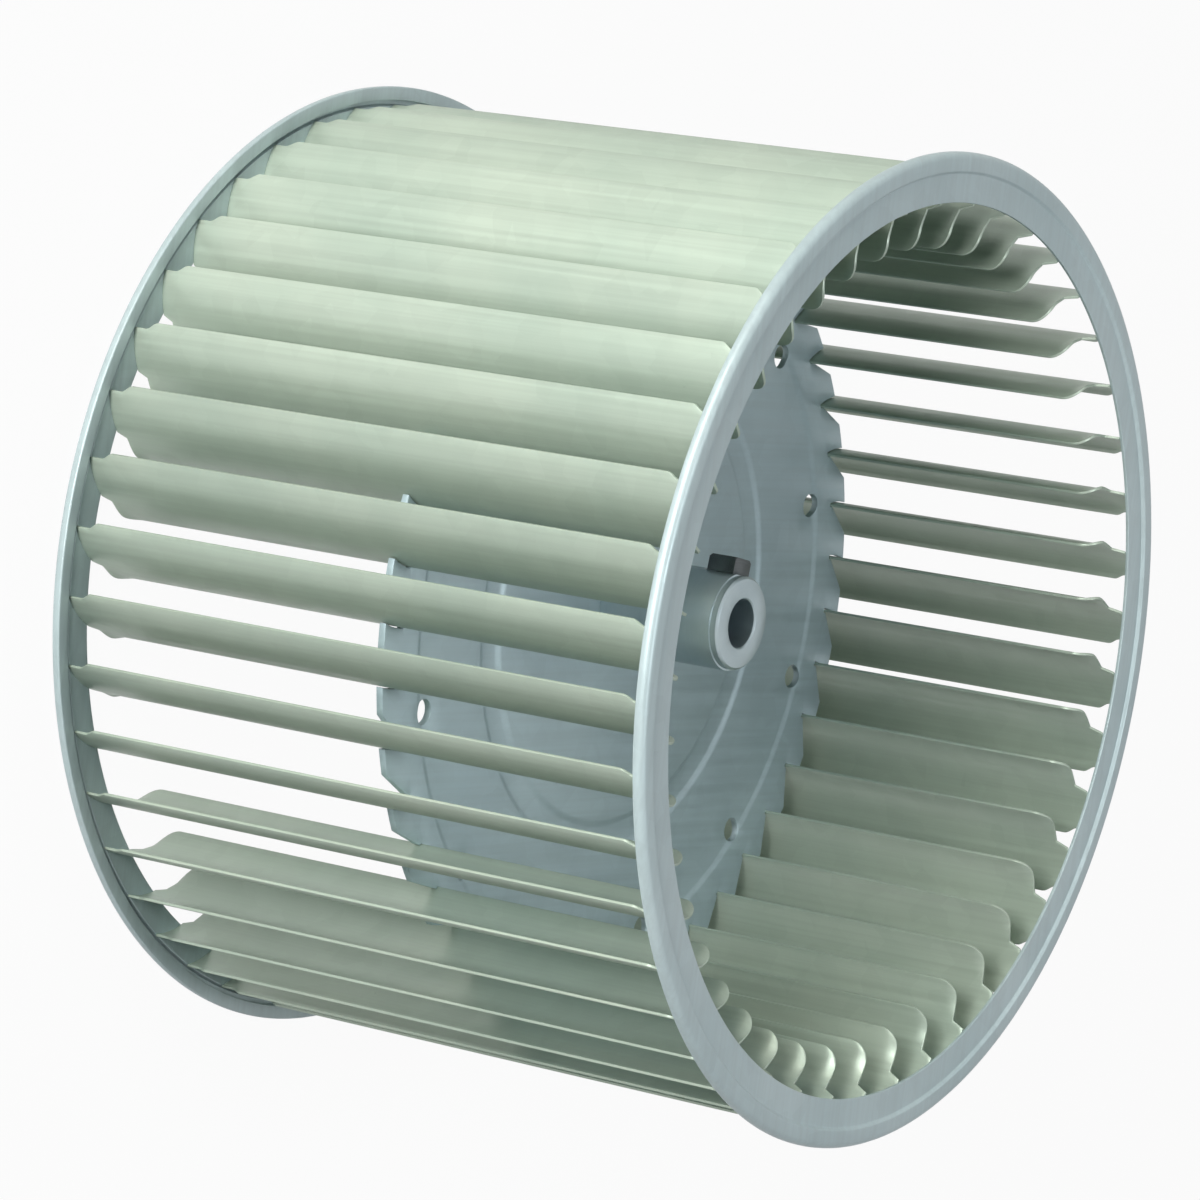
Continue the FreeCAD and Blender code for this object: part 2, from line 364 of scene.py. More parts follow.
def filleted(corners):
    """A closed outline whose corners, given as radius, height and rounding, are rounded."""
    outline = []
    for index, (x, y, rounding) in enumerate(corners):
        corner = Vector((x, y))
        before = Vector(corners[index - 1][:2])
        after = Vector(corners[(index + 1) % len(corners)][:2])
        back, ahead = (before - corner).normalized(), (after - corner).normalized()
        half = math.acos(max(-1.0, min(1.0, back.dot(ahead)))) / 2
        if half > STRAIGHT:
            outline.append((x, y))
            continue
        reach = rounding / math.tan(half)
        middle = corner + (back + ahead).normalized() * (rounding / math.sin(half))
        start, end = corner + back * reach - middle, corner + ahead * reach - middle
        first = math.atan2(start.y, start.x)
        turn = math.atan2(start.x * end.y - start.y * end.x, start.dot(end))
        for step in range(FILLET_STEPS + 1):
            at = first + turn * step / FILLET_STEPS
            outline.append((middle.x + rounding * math.cos(at), middle.y + rounding * math.sin(at)))
    return outline


def rounded_edges(piece, width, degrees):
    """Rounds the edges that are sharper than this angle."""
    bevel = piece.modifiers.new("Rounded edges", "BEVEL")
    bevel.width = width
    bevel.segments = BEVEL_STEPS
    bevel.limit_method = "ANGLE"
    bevel.angle_limit = math.radians(degrees)
    bevel.use_clamp_overlap = True
    bevel.miter_outer = "MITER_ARC"


def combined(piece, other, operation):
    """Joins or cuts one closed mesh with another."""
    step = piece.modifiers.new("Combine", "BOOLEAN")
    step.operation = operation
    step.solver = "EXACT"
    step.object = other
    with_modifiers_applied(piece)
    bpy.data.objects.remove(other)


def place(piece, nodes, material):
    """Puts a finished piece in the place of its solids, on the wheel's one body."""
    piece.data.materials.clear()
    piece.data.materials.append(material)
    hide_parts(*nodes)
    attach(piece, "root")


# Nodes

def feed(tree, node, values):
    """Links or sets a node's inputs, each by its name or its number."""
    for key, value in values.items():
        if isinstance(value, bpy.types.NodeSocket):
            tree.links.new(value, node.inputs[key])
        else:
            node.inputs[key].default_value = value


def added(tree, kind, values, **settings):
    """Adds a node with its settings and feeds its inputs."""
    node = tree.nodes.new(kind)
    for key, value in settings.items():
        setattr(node, key, value)
    feed(tree, node, values)
    return node


def calculated(tree, operation, *values):
    return added(tree, "ShaderNodeMath", dict(enumerate(values)), operation=operation).outputs[0]


# Blades

def blade_arc(sizes):
    """The arc of the blade's section: its centre, radius and first angle."""
    start = Vector((sizes.inner_radius, 0, 0))
    chord = polar(sizes.tip_radius, -sizes.sweep) - start
    along = chord.normalized()
    outward = Vector((-along.y, along.x, 0))
    radius = chord.length / 2 / math.sin(sizes.turn / 2)
    centre = start + chord / 2 - outward * (radius * math.cos(sizes.turn / 2))
    first = math.atan2(start.y - centre.y, start.x - centre.x)
    return centre, radius, first


def arc_point(sizes, at, offset=0.0):
    """A point of the section, from 0 at the inner edge to 1 at the tip."""
    centre, radius, first = blade_arc(sizes)
    return centre + polar(radius + offset, first - sizes.turn * at)


def chord_share(sizes, distance):
    """The share of the section's arc that lies over a distance along its chord."""
    radius = blade_arc(sizes)[1]
    half = radius * math.sin(sizes.turn / 2)
    return 0.5 + math.asin(max(-1.0, min(1.0, (distance - half) / radius))) / sizes.turn


def row_heights(sizes, tab_low, cut_low):
    """Heights of half a blade's rows, close together where its outline bends."""
    shares = [step / ROW_STEPS for step in range(ROW_STEPS + 1)]
    marks = {0.0, tab_low / 2, tab_low - 4 * sizes.corner}
    marks.update(tab_low - sizes.corner * (1 - math.sin(math.pi / 2 * share)) for share in shares)
    marks.update(cut_low + sizes.cut_slant * share for share in shares)
    marks.update(tab_low + (sizes.end_height - tab_low) * share for share in shares[::2])
    marks = sorted(marks)
    return [
        mark for index, mark in enumerate(marks)
        if index == 0 or mark == tab_low or mark - marks[index - 1] > LEAST_ROW_STEP
    ]


def blade_rows(sizes, gap):
    """Half a blade's rows from mid width to an end: height, limits on the chord, lean and tab or not."""
    chord = 2 * blade_arc(sizes)[1] * math.sin(sizes.turn / 2)
    tab_low = sizes.end_height - gap
    cut_low = sizes.end_height - sizes.cut_height - sizes.cut_slant
    rows = []
    for mark in row_heights(sizes, tab_low, cut_low):
        on_tab = mark > tab_low
        if on_tab:
            low = sizes.tab_start + sizes.tab_slant * min(1.0, (mark - tab_low) / gap)
        else:
            into_corner = max(mark - tab_low + sizes.corner, 0.0)
            low = sizes.corner - math.sqrt(max(sizes.corner ** 2 - into_corner ** 2, 0.0))
        high = chord - sizes.cut_depth * eased((mark - cut_low) / sizes.cut_slant)
        lean = sizes.flare * max(0.0, 1 - (tab_low - mark) / sizes.flare_length) ** 2
        rows.append((mark, low, high, lean, on_tab))
    return rows


def blade_sheet_mesh(sizes):
    """The middle surface of one blade, with its inner edge on the X axis."""
    base = blade_rows(sizes, sizes.base_gap)
    rows = [(-row[0], *row[1:]) for row in reversed(base[1:])] + blade_rows(sizes, sizes.inlet_gap)
    centre, radius, first = blade_arc(sizes)
    points, starts = [], []
    for height, low, high, lean, on_tab in rows:
        middle = max(low, sizes.tab_start)
        spots = [middle + (high - middle) * step / TAB_COLUMNS for step in range(TAB_COLUMNS + 1)]
        if not on_tab:
            spots = [low + (middle - low) * step / INNER_COLUMNS for step in range(INNER_COLUMNS)] + spots
        starts.append(len(points) - (INNER_COLUMNS if on_tab else 0))
        for spot in spots:
            leaning = lean * eased((sizes.tab_start - spot) / (sizes.tab_start - sizes.corner))
            at = first - sizes.turn * chord_share(sizes, spot)
            points.append(centre + polar(radius + leaning, at, height))
    faces = []
    for row in range(len(rows) - 1):
        first_column = INNER_COLUMNS if rows[row][4] or rows[row + 1][4] else 0
        for column in range(first_column, INNER_COLUMNS + TAB_COLUMNS):
            here, there = starts[row] + column, starts[row + 1] + column
            faces.append((here, there, there + 1, here + 1))
    return mesh_of("blade_sheet", points, faces)


def tree_input(tree, name, kind):
    return tree.interface.new_socket(name=name, in_out="INPUT", socket_type=kind).identifier


def blade_ring_tree(material):
    """Copies one blade round the shaft's axis and gives each copy its own tone."""
    tree = bpy.data.node_groups.new("Blade ring", "GeometryNodeTree")
    tree_input(tree, "Geometry", "NodeSocketGeometry")
    identifiers = {
        "Count": tree_input(tree, "Count", "NodeSocketInt"),
        "First": tree_input(tree, "First", "NodeSocketFloat"),
        "Seed": tree_input(tree, "Seed", "NodeSocketInt"),
    }
    tree.interface.new_socket(name="Geometry", in_out="OUTPUT", socket_type="NodeSocketGeometry")
    given = tree.nodes.new("NodeGroupInput").outputs
    places = added(tree, "GeometryNodePoints", {"Count": given["Count"]})
    pitch = calculated(tree, "DIVIDE", math.tau, given["Count"])
    index = tree.nodes.new("GeometryNodeInputIndex").outputs["Index"]
    turn = calculated(tree, "MULTIPLY_ADD", index, pitch, given["First"])
    rotation = added(tree, "ShaderNodeCombineXYZ", {"Z": turn})
    copies = added(tree, "GeometryNodeInstanceOnPoints", {
        "Points": places.outputs[0], "Instance": given["Geometry"], "Rotation": rotation.outputs[0],
    })
    tone = added(tree, "FunctionNodeRandomValue", {"Seed": given["Seed"]})
    toned = added(tree, "GeometryNodeStoreNamedAttribute", {
        "Geometry": copies.outputs[0], "Name": "blade_tone", "Value": tone.outputs[1],
    }, data_type="FLOAT", domain="INSTANCE")
    real = added(tree, "GeometryNodeRealizeInstances", {"Geometry": toned.outputs[0]})
    finish = added(tree, "GeometryNodeSetMaterial", {"Geometry": real.outputs[0], "Material": material})
    added(tree, "NodeGroupOutput", {"Geometry": finish.outputs[0]})
    return tree, identifiers


def make_blades(sizes, material):
    piece = object_of("blade_set", blade_sheet_mesh(sizes))
    wall = piece.modifiers.new("Sheet", "SOLIDIFY")
    wall.thickness = sizes.sheet
    wall.offset = 0.0
    wall.use_even_offset = True
    rounded_edges(piece, sizes.edge, degrees=60)
    with_modifiers_applied(piece)
    shaded(piece.data, degrees=40)
    tree, identifiers = blade_ring_tree(material)
    ring = piece.modifiers.new("Blade ring", "NODES")
    ring.node_group = tree
    ring[identifiers["Count"]] = sizes.count
    ring[identifiers["First"]] = sizes.first
    ring[identifiers["Seed"]] = TONE_SEED
    with_modifiers_applied(piece)
    place(piece, BLADE_NODES, material)


# End rings

def ring_outline(rings, blades):
    """The closed section of the upper ring, sheet bent over the blade tips and turned in below."""
    top, edge = RING_HIGH.z, RING_HIGH.x
    face_outer = edge - rings.lip_width
    face_inner = face_outer - rings.face_width
    face = top - rings.lip_rise
    crest = face_outer + rings.lip_slope
    low = top - rings.lip_depth
    hem = blades.tip_radius + rings.tip_clearance
    wall = edge - rings.sheet
    return filleted([
        (face_inner, face - rings.sheet, rings.cut_edge),
        (face_inner, face, rings.cut_edge),
        (face_outer, face, rings.outer_bend),
        (crest, top, rings.outer_bend),
        (edge, top, rings.lip_shoulder),
        (edge, low, rings.hem_bend),
        (hem, low, rings.cut_edge),
        (hem, low + rings.sheet, rings.cut_edge),
        (wall, low + rings.sheet, rings.inner_hem_bend),
        (wall, top - rings.sheet, rings.inner_shoulder),
        (crest, top - rings.sheet, rings.inner_bend),
        (face_outer, face - rings.sheet, rings.inner_bend),
    ])


def make_ring(name, side, rings, blades, material):
    """Makes one ring, above the disc where side is 1 and below it where side is -1."""
    outline = [(radius, side * height) for radius, height in ring_outline(rings, blades)]
    mesh = lathed(name, outline, RING_STEPS)
    shaded(mesh, degrees=50)
    place(object_of(name + "_rolled", mesh), [name], material)


# Centre disc

def disc_surface(disc, blades, radius):
    """Height of the disc's upper face at a distance from the shaft's axis."""
    half = disc.groove_width / 2
    from_middle = abs(radius - disc.groove_radius)
    groove = disc.groove_depth * eased((half - from_middle) / disc.press_slope)
    band_start = blades.inner_radius - disc.band_width - disc.press_slope
    band = disc.band_rise * eased((radius - band_start) / disc.press_slope)
    return disc.sheet / 2 - groove + band


def wall_share(blades, rim, offset):
    """Where along its arc a slot's side meets the disc's rim."""
    low, high = 0.0, 1.0
    for _ in range(HALVINGS):
        middle = (low + high) / 2
        if arc_point(blades, middle, offset).length < rim:
            low = middle
        else:
            high = middle
    return low


def rim_outline(disc, blades):
    """The disc's toothed rim, one slot and one tooth for each blade."""
    rim = blades.inner_radius + disc.tooth_height
    side = blades.sheet / 2 + disc.slot_clearance
    pitch = math.tau / blades.count
    reach = wall_share(blades, rim, side)
    wall = [arc_point(blades, reach * step / WALL_STEPS, side) for step in range(WALL_STEPS, -1, -1)]
    top_start = -disc.tooth_slant
    top_turn = math.atan2(wall[0].y, wall[0].x) - pitch - top_start
    onward = Matrix.Rotation(-pitch, 3, "Z")
    tooth = [arc_point(blades, 0.0, -side), Vector((blades.inner_radius + disc.tooth_start, -side, 0))]
    tooth += [polar(rim, top_start + top_turn * step / RIM_STEPS) for step in range(RIM_STEPS)]
    tooth += [onward @ point for point in wall]
    outline = []
    for blade in range(blades.count):
        turn = Matrix.Rotation(blades.first - pitch * blade, 3, "Z")
        outline += [turn @ point for point in tooth]
    return outline


def disc_circles(disc, blades):
    """Radii that carry the disc's mesh through its pressed forms."""
    half = disc.groove_width / 2
    slopes = [disc.groove_radius - half, disc.groove_radius + half - disc.press_slope]
    slopes.append(blades.inner_radius - disc.band_width - disc.press_slope)
    radii = [*DISC_MESH_RADII, disc.groove_radius]
    for start in slopes:
        radii += [start + disc.press_slope * step / SLOPE_STEPS for step in range(SLOPE_STEPS + 1)]
    return sorted(radii)


def disc_plan(disc, blades):
    """The disc's flat mesh between its rim, its round holes and the hub's hexagon."""
    outline = rim_outline(disc, blades)
    vents = [
        polar(disc.vent_radius, disc.first_vent + math.tau * index / disc.vent_count)
        for index in range(disc.vent_count)
    ]
    vent = [polar(disc.vent_diameter / 2, math.tau * step / VENT_STEPS) for step in range(VENT_STEPS)]
    loops = [outline] + [[middle + point for point in vent] for middle in vents]
    loops.append(hexagon(disc.neck_flats))
    points, edges = [], []
    for loop in loops:
        start = len(points)
        points += [Vector((point.x, point.y)) for point in loop]
        edges += [(start + index, start + (index + 1) % len(loop)) for index in range(len(loop))]
    clear = disc.vent_diameter / 2 + VENT_MARGIN
    for radius in disc_circles(disc, blades):
        for step in range(CIRCLE_STEPS):
            point = polar(radius, math.tau * step / CIRCLE_STEPS)
            if all((point - middle).length >= clear for middle in vents):
                points.append(Vector((point.x, point.y)))
    rim = [list(range(len(outline)))]
    flat, _, triangles, *_ = delaunay_2d_cdt(points, edges, rim, TRIANGLES_INSIDE, WELD_DISTANCE)
    sides = [polar(1, turn + HEXAGON_HALF).xy for turn in HEXAGON_TURNS]
    kept = []
    for triangle in triangles:
        middle = sum((flat[index] for index in triangle), Vector((0, 0))) / 3
        in_vent = any((middle - centre.xy).length < disc.vent_diameter / 2 for centre in vents)
        in_neck = all(middle.dot(side) < disc.neck_flats / 2 for side in sides)
        if not in_vent and not in_neck:
            kept.append(tuple(triangle))
    return flat, kept


def disc_mesh(disc, blades):
    """The pressed disc, as a closed sheet over its flat mesh."""
    flat, kept = disc_plan(disc, blades)
    count = len(flat)
    top = [Vector((point.x, point.y, disc_surface(disc, blades, point.length))) for point in flat]
    bottom = [point - Vector((0, 0, disc.sheet)) for point in top]
    edges = [(triangle[index], triangle[(index + 1) % 3]) for triangle in kept for index in range(3)]
    seen = set(edges)
    border = [edge for edge in edges if (edge[1], edge[0]) not in seen]
    faces = kept + [tuple(count + index for index in reversed(triangle)) for triangle in kept]
    faces += [(b, a, a + count, b + count) for a, b in border]
    mesh = mesh_of("center_disc_pressed", top + bottom, faces)
    work = bmesh.new()
    work.from_mesh(mesh)
    bmesh.ops.delete(work, geom=[vert for vert in work.verts if not vert.link_faces], context="VERTS")
    bmesh.ops.recalc_face_normals(work, faces=work.faces)
    work.to_mesh(mesh)
    work.free()
    return mesh


def make_disc(disc, blades, material):
    piece = object_of("center_disc_pressed", disc_mesh(disc, blades))
    rounded_edges(piece, disc.edge, degrees=50)
    with_modifiers_applied(piece)
    shaded(piece.data, degrees=42)
    place(piece, ["center_disc"], material)


# Hub and set screw

def radial(hub, mesh):
    """Lays a mesh made along Z on the set screw's axis."""
    height = HUB_HIGH.z - hub.screw_from_face
    outward = Matrix.Rotation(hub.screw_angle, 4, "Z") @ Matrix.Rotation(math.radians(90), 4, "Y")
    mesh.transform(Matrix.Translation((0, 0, height)) @ outward)
    return mesh


def make_hub(hub, disc, material):
    radius, face = hub.diameter / 2, HUB_HIGH.z
    seat, back = disc.sheet / 2, -disc.sheet / 2
    nose, head = radius - hub.nose_step, hub.staked_diameter / 2
    profile = [
        (0, face), (nose - hub.chamfer, face), (nose, face - hub.chamfer), (nose, face - hub.nose_length),
        (radius, face - hub.nose_length), (radius, seat), (disc.neck_flats / 2, seat),
        (disc.neck_flats / 2, back), (head, back), (head, HUB_LOW.z + hub.staked_chamfer),
        (head - hub.staked_chamfer, HUB_LOW.z), (0, HUB_LOW.z),
    ]
    piece = object_of("hub_turned", turned_solid("hub_turned", profile))
    combined(piece, object_of("neck", prism_mesh("neck", hexagon(disc.neck_flats), back, seat)), "UNION")
    bore, mouth = hub.bore / 2, hub.bore_mouth
    cutter = turned_solid("bore", [
        (0, face + MM), (bore + mouth + MM, face + MM), (bore, face - mouth),
        (bore, HUB_LOW.z + mouth), (bore + mouth + MM, HUB_LOW.z - MM), (0, HUB_LOW.z - MM),
    ])
    combined(piece, object_of("bore", cutter), "DIFFERENCE")
    hole = hub.screw_diameter / 2 + hub.screw_clearance
    for size, start in ((hole, 0.0), (hub.seat_diameter / 2, hub.seat_height)):
        outline = [(0, start), (size, start), (size, hub.diameter), (0, hub.diameter)]
        drill = turned_solid("drill", outline, DRILL_STEPS)
        combined(piece, object_of("drill", radial(hub, drill)), "DIFFERENCE")
    rounded_edges(piece, hub.edge, degrees=30)
    with_modifiers_applied(piece)
    shaded(piece.data, degrees=35)
    place(piece, ["hub"], material)


def threaded_shank(hub, low, high):
    """A closed shank whose radius follows a thread and narrows to its point."""
    rows = int((high - low) / hub.thread_pitch * THREAD_STEPS)
    points = [Vector((0, 0, low)), Vector((0, 0, high))]
    for row in range(rows + 1):
        height = low + (high - low) * row / rows
        inset = hub.point_inset * max(0.0, 1 - (height - low) / hub.point_length)
        for step in range(SHANK_STEPS):
            phase = (height / hub.thread_pitch - step / SHANK_STEPS) % 1.0
            groove = hub.thread_depth * (1 - abs(2 * phase - 1))
            radius = hub.screw_diameter / 2 - inset - groove
            points.append(polar(radius, math.tau * step / SHANK_STEPS, height))
    faces = []
    last = 2 + rows * SHANK_STEPS
    for step in range(SHANK_STEPS):
        following = (step + 1) % SHANK_STEPS
        faces.append((0, 2 + following, 2 + step))
        faces.append((1, last + step, last + following))
        for row in range(rows):
            low_row = 2 + row * SHANK_STEPS
            high_row = low_row + SHANK_STEPS
            faces.append((low_row + step, low_row + following, high_row + following, high_row + step))
    mesh = mesh_of("shank", points, faces)
    face_outwards(mesh)
    return mesh


def make_set_screw(hub, material):
    start = hub.bore / 2 + hub.screw_clearance
    high = hub.seat_height + hub.screw_head_height
    widest = hub.screw_head / math.sqrt(2)
    corners = [polar(widest, math.radians(45 + 90 * side)) for side in range(4)]
    head = prism_mesh("head", corners, hub.seat_height, high)
    piece = object_of("set_screw_threaded", head)
    crown = turned_solid("crown", [
        (0, hub.seat_height - MM), (widest + MM, hub.seat_height - MM), (widest + MM, high - hub.crown_drop),
        (widest - hub.crown_inset, high), (0, high),
    ], CROWN_STEPS)
    combined(piece, object_of("crown", crown), "INTERSECT")
    shank = threaded_shank(hub, start, hub.seat_height + MM)
    combined(piece, object_of("shank", shank), "UNION")
    radial(hub, piece.data)
    rounded_edges(piece, hub.screw_edge, degrees=50)
    with_modifiers_applied(piece)
    shaded(piece.data, degrees=35)
    place(piece, ["set_screw"], material)


# Finishes

def group_socket(group, name, kind, default=None, output=False):
    socket = group.interface.new_socket(
        name=name, in_out="OUTPUT" if output else "INPUT", socket_type=kind
    )
    if default is not None:
        socket.default_value = default


def noise(tree, vector, scale, detail, roughness=0.5):
    values = {"Vector": vector, "Scale": scale, "Detail": detail, "Roughness": roughness}
    return added(tree, "ShaderNodeTexNoise", values).outputs["Fac"]


def spread(tree, value, low, high, to_low=0.0, to_high=1.0):
    """Maps one range of a value to another."""
    values = {"Value": value, "From Min": low, "From Max": high, "To Min": to_low, "To Max": to_high}
    return added(tree, "ShaderNodeMapRange", values, interpolation_type="SMOOTHSTEP").outputs["Result"]


def blended(tree, factor, first, second):
    """A colour between two, by a factor. The node takes its colours at inputs 6 and 7."""
    return added(tree, "ShaderNodeMix", {0: factor, 6: first, 7: second}, data_type="RGBA").outputs[2]


def coated_sheet_group():
    """The zinc coating of rolled sheet: clouds, spangle, fine rolling streaks and small marks."""
    group = bpy.data.node_groups.new("Coated sheet", "ShaderNodeTree")
    group_socket(group, "Vector", "NodeSocketVector")
    group_socket(group, "Streak Vector", "NodeSocketVector")
    group_socket(group, "Colour", "NodeSocketColor", (0.5, 0.5, 0.5, 1))
    group_socket(group, "Pale Colour", "NodeSocketColor", (0.6, 0.6, 0.6, 1))
    group_socket(group, "Tone", "NodeSocketFloat", 0.5)
    group_socket(group, "Roughness", "NodeSocketFloat", 0.4)
    group_socket(group, "Colour", "NodeSocketColor", output=True)
    group_socket(group, "Roughness", "NodeSocketFloat", output=True)
    group_socket(group, "Height", "NodeSocketFloat", output=True)
    given = group.nodes.new("NodeGroupInput").outputs
    clouds = noise(group, given["Vector"], scale=22, detail=3)
    streaks = noise(group, given["Streak Vector"], scale=1.0, detail=3, roughness=0.6)
    marks = noise(group, given["Vector"], scale=420, detail=3, roughness=0.7)
    spangle = added(group, "ShaderNodeTexVoronoi", {"Vector": given["Vector"], "Scale": 170})
    grain = added(group, "ShaderNodeSeparateColor", {"Color": spangle.outputs["Color"]}).outputs
    base = blended(group, spread(group, clouds, 0.25, 0.78), given["Colour"], given["Pale Colour"])
    tone = spread(group, grain[0], 0.0, 1.0, 0.98, 1.02)
    # Each pattern, the range of it that counts and the brightness this range becomes
    for source, low, high, to_low, to_high in (
        (streaks, 0.3, 0.7, 0.96, 1.04),
        (given["Tone"], 0.0, 1.0, 0.96, 1.04),
        (marks, 0.70, 0.80, 1.0, 0.90),
    ):
        tone = calculated(group, "MULTIPLY", tone, spread(group, source, low, high, to_low, to_high))
    scaled = added(group, "ShaderNodeVectorMath", {0: base, "Scale": tone}, operation="SCALE")
    streak_sheen = spread(group, streaks, 0.25, 0.75, -0.07, 0.08)
    grain_sheen = spread(group, grain[1], 0, 1, -0.02, 0.02)
    rough = calculated(group, "ADD", streak_sheen, given["Roughness"])
    added(group, "NodeGroupOutput", {
        "Colour": scaled.outputs[0], "Roughness": calculated(group, "ADD", rough, grain_sheen),
        "Height": calculated(group, "MULTIPLY", streaks, 0.7),
    })
    return group


def new_material(name):
    material = bpy.data.materials.new(name)
    material.use_nodes = True
    return material, material.node_tree, material.node_tree.nodes["Principled BSDF"]


def bumped(tree, height, distance, strength):
    """The surface's direction where small heights turn it."""
    values = {"Height": height, "Distance": distance, "Strength": strength}
    return added(tree, "ShaderNodeBump", values).outputs["Normal"]


def coated_sheet_material(name, colours, streak_scale, metallic, roughness, tone_attribute=None):
    """Coated sheet steel, with its rolling streaks along one direction."""
    material, tree, shader = new_material(name)
    spot = tree.nodes.new("ShaderNodeTexCoord").outputs["Object"]
    stretched = added(tree, "ShaderNodeMapping", {"Vector": spot, "Scale": streak_scale}).outputs["Vector"]
    values = {
        "Vector": spot, "Streak Vector": stretched, "Colour": (*colours[0], 1),
        "Pale Colour": (*colours[1], 1), "Roughness": roughness,
    }
    if tone_attribute:
        attribute = added(tree, "ShaderNodeAttribute", {}, attribute_name=tone_attribute)
        values["Tone"] = attribute.outputs["Fac"]
    coating = bpy.data.node_groups.get("Coated sheet") or coated_sheet_group()
    coat = added(tree, "ShaderNodeGroup", values, node_tree=coating).outputs
    feed(tree, shader, {
        "Base Color": coat["Colour"], "Roughness": coat["Roughness"], "Metallic": metallic,
        "Normal": bumped(tree, coat["Height"], distance=0.1 * MM, strength=0.30),
    })
    return material


def turned_steel_material(name, colours, metallic, roughness):
    """Turned steel, with fine rings left by the tool."""
    material, tree, shader = new_material(name)
    spot = tree.nodes.new("ShaderNodeTexCoord").outputs["Object"]
    parts = added(tree, "ShaderNodeSeparateXYZ", {"Vector": spot}).outputs
    squares = [calculated(tree, "POWER", parts[axis], 2.0) for axis in ("X", "Y")]
    radius = calculated(tree, "POWER", calculated(tree, "ADD", *squares), 0.5)
    flat = added(tree, "ShaderNodeCombineXYZ", {"X": radius, "Y": parts["Z"]}).outputs[0]
    rings = noise(tree, flat, scale=3200, detail=2)
    clouds = noise(tree, spot, scale=90, detail=3)
    marks = calculated(tree, "ADD", clouds, calculated(tree, "MULTIPLY", rings, 0.35))
    pale = spread(tree, marks, 0.45, 0.95)
    feed(tree, shader, {
        "Base Color": blended(tree, pale, (*colours[0], 1), (*colours[1], 1)),
        "Roughness": spread(tree, rings, 0.3, 0.7, roughness - 0.02, roughness + 0.02),
        "Metallic": metallic, "Normal": bumped(tree, rings, distance=0.01 * MM, strength=0.15),
    })
    return material


# Operators

class BLOWER_OT_blades(bpy.types.Operator):
    """Makes the ring of blades"""
    bl_idname = "blower.blades"
    bl_label = "Blades"

    def execute(self, context):
        finish = context.scene.blower_finish
        material = coated_sheet_material(
            "Blade sheet", (finish.blade, finish.blade_pale), streak_scale=(900, 900, 9),
            metallic=0.3, roughness=0.42, tone_attribute="blade_tone",
        )
        make_blades(context.scene.blower_blades, material)
        return {"FINISHED"}


class BLOWER_OT_rings(bpy.types.Operator):
    """Makes both rolled end rings"""
    bl_idname = "blower.rings"
    bl_label = "End rings"

    def execute(self, context):
        scene, finish = context.scene, context.scene.blower_finish
        material = coated_sheet_material(
            "Ring sheet", (finish.ring, finish.ring_pale), streak_scale=(14, 700, 700),
            metallic=0.25, roughness=0.42,
        )
        for name, side in (("inlet_ring", 1), ("base_ring", -1)):
            make_ring(name, side, scene.blower_rings, scene.blower_blades, material)
        return {"FINISHED"}


class BLOWER_OT_disc(bpy.types.Operator):
    """Makes the toothed centre disc"""
    bl_idname = "blower.disc"
    bl_label = "Centre disc"

    def execute(self, context):
        scene, finish = context.scene, context.scene.blower_finish
        material = coated_sheet_material(
            "Disc sheet", (finish.disc, finish.disc_pale), streak_scale=(700, 14, 700),
            metallic=0.25, roughness=0.46,
        )
        make_disc(scene.blower_disc, scene.blower_blades, material)
        return {"FINISHED"}


class BLOWER_OT_hub(bpy.types.Operator):
    """Makes the turned hub"""
    bl_idname = "blower.hub"
    bl_label = "Hub"

    def execute(self, context):
        scene, finish = context.scene, context.scene.blower_finish
        material = turned_steel_material(
            "Hub steel", (finish.hub, finish.hub_pale), metallic=0.65, roughness=0.30
        )
        make_hub(scene.blower_hub, scene.blower_disc, material)
        return {"FINISHED"}


class BLOWER_OT_set_screw(bpy.types.Operator):
    """Makes the set screw"""
    bl_idname = "blower.set_screw"
    bl_label = "Set screw"

    def execute(self, context):
        finish = context.scene.blower_finish
        material = turned_steel_material(
            "Screw steel", (finish.screw, finish.screw_pale), metallic=0.6, roughness=0.36
        )
        make_set_screw(context.scene.blower_hub, material)
        return {"FINISHED"}


# Stage

FLOOR_SIZE = 16.0
SENSOR_WIDTH = 36
CLIP_RANGE = (0.01, 100)

# Each lamp's name, place in metres, width in metres, power in watts and tint. The first three are
# placed by the picture's directions, right, up and toward the camera, and the last by the wheel's axes.
PICTURE_LAMPS = (
    ("Key lamp", (-0.45, 0.35, 1.4), 0.6, 12.5, (1.0, 1.0, 0.98)),
    ("Left lamp", (-0.75, 0.25, 1.35), 0.8, 7.5, (0.97, 1.0, 0.99)),
    ("Top lamp", (-0.45, 1.15, 1.15), 0.7, 13, (1.0, 0.965, 0.87)),
)
AXIS_LAMP = ("Axis lamp", (0.1, 0.1, 1.7), 0.35, 7.5, (0.93, 0.97, 1.0))


def backdrop_mask(tree):
    """1 for rays from the camera and for mirror and glass rays, which see the white background."""
    rays = tree.nodes.new("ShaderNodeLightPath").outputs
    seen = calculated(tree, "MAXIMUM", rays["Is Camera Ray"], rays["Is Glossy Ray"])
    return calculated(tree, "MAXIMUM", seen, rays["Is Transmission Ray"])


